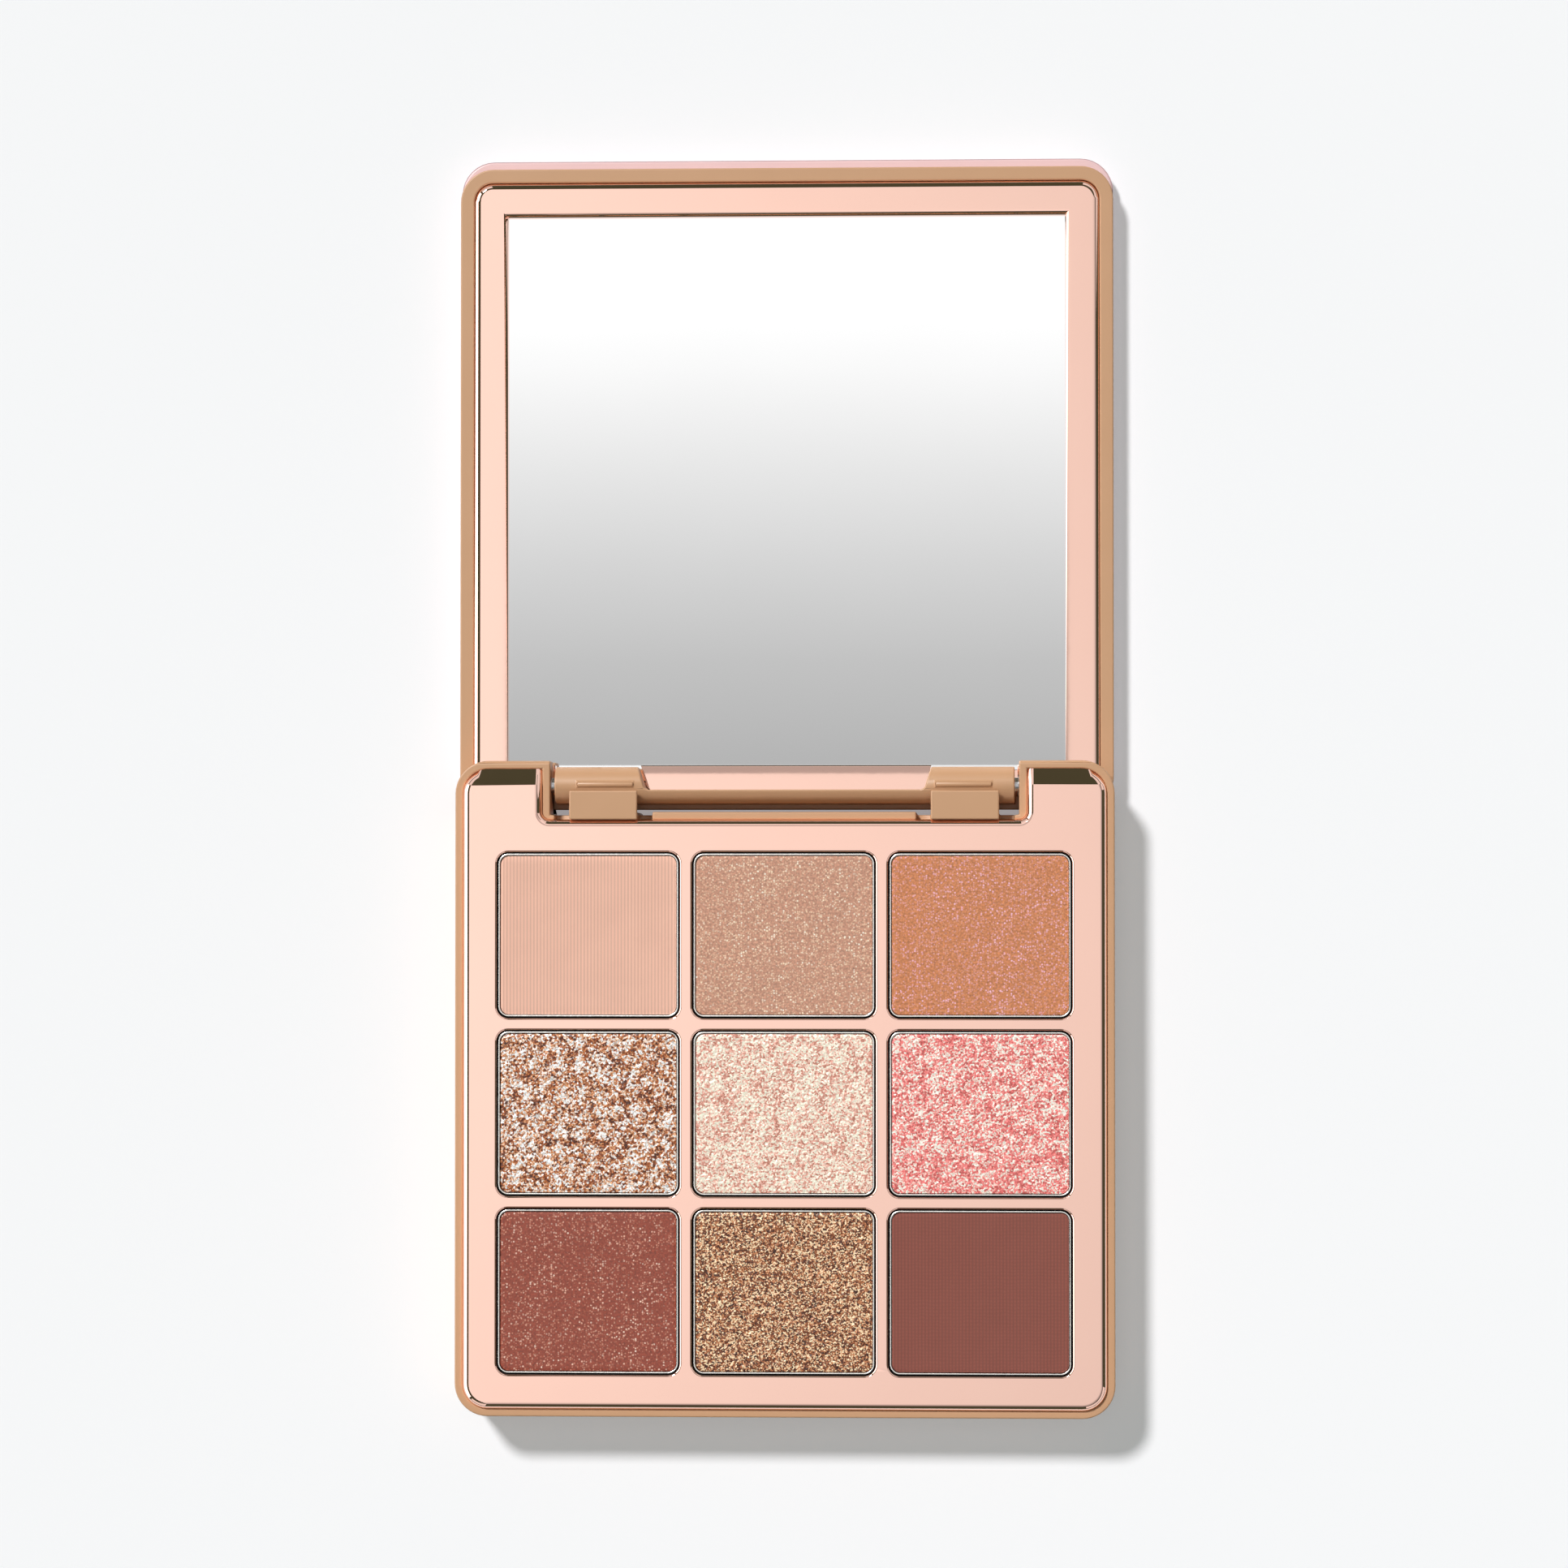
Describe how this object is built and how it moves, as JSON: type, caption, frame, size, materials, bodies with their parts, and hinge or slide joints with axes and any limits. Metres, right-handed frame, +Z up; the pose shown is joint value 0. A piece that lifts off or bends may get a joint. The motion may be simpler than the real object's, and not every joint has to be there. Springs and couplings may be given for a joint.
{
  "type": "eyeshadow palette",
  "caption": "Square hinged eyeshadow compact with pressed shadows in metal pans and a mirror in the lid, lying open flat.",
  "frame": {"origin": "on the surface the open palette lies on, straight under the middle of the hinge axis", "axes": "+X to the right along the hinge, +Y from the base towards the opened lid, +Z up out of the pans"},
  "size_m": [0.09, 0.1726, 0.0119],
  "materials": {
    "tan_plastic": "satin",
    "rose_metallised": "vacuum-metallised, mirror-bright rose gold",
    "pink_plastic": "soft gloss",
    "mirror": "silvered",
    "pad_foam": "adhesive foam pad",
    "magnet": "nickel-plated magnet",
    "steel_pin": "ground",
    "pan_metal": "pressed tinplate or aluminium",
    "shadow_1": "matte, ribbed press",
    "shadow_2": "satin with fine sparkle",
    "shadow_3": "satin with pink sparkle",
    "shadow_4": "flaked, metallic",
    "shadow_5": "flaked, pearl",
    "shadow_6": "flaked, pearl",
    "shadow_7": "matte with sparkle",
    "shadow_8": "glitter",
    "shadow_9": "matte, woven press"
  },
  "bodies": {
    "base": {"base_shell": "tan_plastic", "deck": "rose_metallised", "pan_1": "pan_metal", "pan_2": "pan_metal", "pan_3": "pan_metal", "pan_4": "pan_metal", "pan_5": "pan_metal", "pan_6": "pan_metal", "pan_7": "pan_metal", "pan_8": "pan_metal", "pan_9": "pan_metal", "shadow_1": "shadow_1", "shadow_2": "shadow_2", "shadow_3": "shadow_3", "shadow_4": "shadow_4", "shadow_5": "shadow_5", "shadow_6": "shadow_6", "shadow_7": "shadow_7", "shadow_8": "shadow_8", "shadow_9": "shadow_9", "base_magnets": "magnet", "hinge_pin_left": "steel_pin", "hinge_pin_right": "steel_pin"},
    "lid": {"lid_rim": "tan_plastic", "lid_cover": "pink_plastic", "mirror_frame": "rose_metallised", "mirror": "mirror", "mirror_pad": "pad_foam", "lid_magnets": "magnet"}
  },
  "joints": [
    {"name": "lid_hinge", "type": "hinge", "parent": "base", "child": "lid", "pos_m": [0, 0, 0.00845], "axis": [1, 0, 0], "range_deg": [0, 180]}
  ]
}
